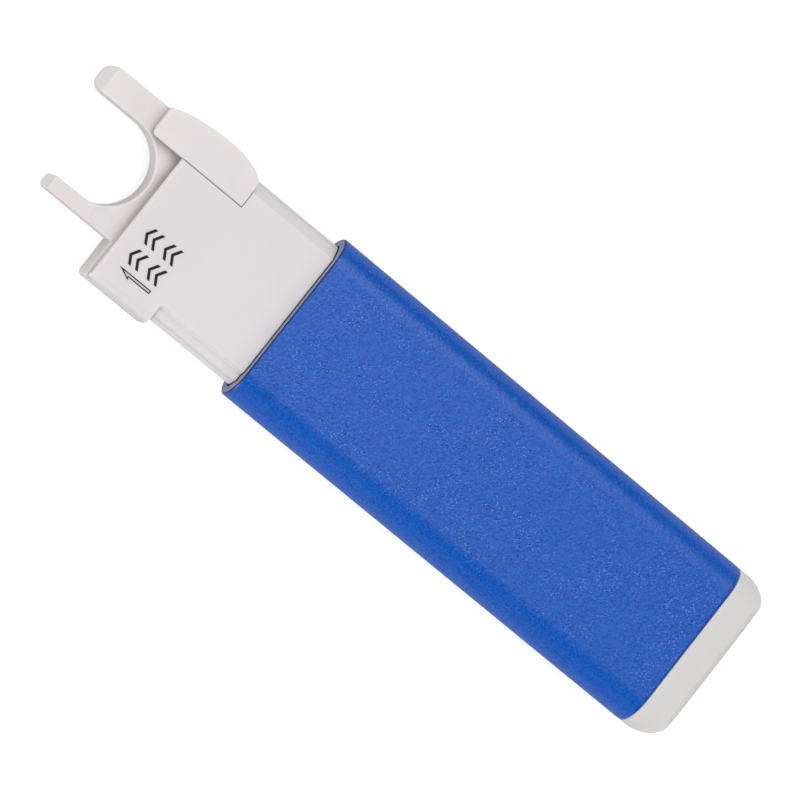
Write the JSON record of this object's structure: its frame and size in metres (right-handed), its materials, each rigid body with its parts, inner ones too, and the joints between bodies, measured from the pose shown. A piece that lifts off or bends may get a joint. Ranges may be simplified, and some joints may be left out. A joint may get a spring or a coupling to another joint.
{
  "type": "push-blade seam ripper",
  "caption": "Flat pocket seam ripper: blue sleeve with end plug, white body with forked guide, covered push blade worked by a side thumb slide; the head slides back into the sleeve.",
  "frame": {"origin": "centre of the bounding box in X and Y, on the flat underside", "axes": "+X along the tool towards the fork tips, +Y to the collar side (away from the thumb slide), +Z out of the printed face"},
  "size_m": [0.1064, 0.024, 0.0074],
  "materials": {
    "sleeve_blue": "fine pebbled satin powder coat",
    "plug_white": "fine moulded texture",
    "body_white": "smooth moulded satin",
    "slide_white": "smooth moulded satin",
    "carriage_white": "moulded acetal",
    "ink_black": "pad-printed ink",
    "blade_steel": "ground and brushed",
    "steel": "plated",
    "spring_steel": "drawn"
  },
  "bodies": {
    "handle": {"sleeve": "sleeve_blue", "end_plug": "plug_white", "stop_pin": "steel"},
    "head": {"fork_base": "body_white", "top_cover": "body_white", "cover_screws": "steel", "direction_mark": "ink_black", "spring_guide_pin": "steel", "return_spring": "spring_steel", "brake_leaf": "spring_steel", "leaf_rivet": "steel"},
    "blade_slide": {"thumb_slide": "slide_white", "blade": "blade_steel", "slide_rivets": "steel", "blade_carriage": "carriage_white", "carriage_rivets": "steel"}
  },
  "joints": [
    {"name": "head_retract", "type": "slide", "parent": "handle", "child": "head", "axis": [-1, 0, 0], "range_m": [0, 0.012]},
    {"name": "blade_push", "type": "slide", "parent": "head", "child": "blade_slide", "axis": [1, 0, 0], "range_m": [0, 0.0075], "stiffness_N_per_m": 1100, "springref_m": -0.001, "deforming": ["return_spring"]}
  ]
}
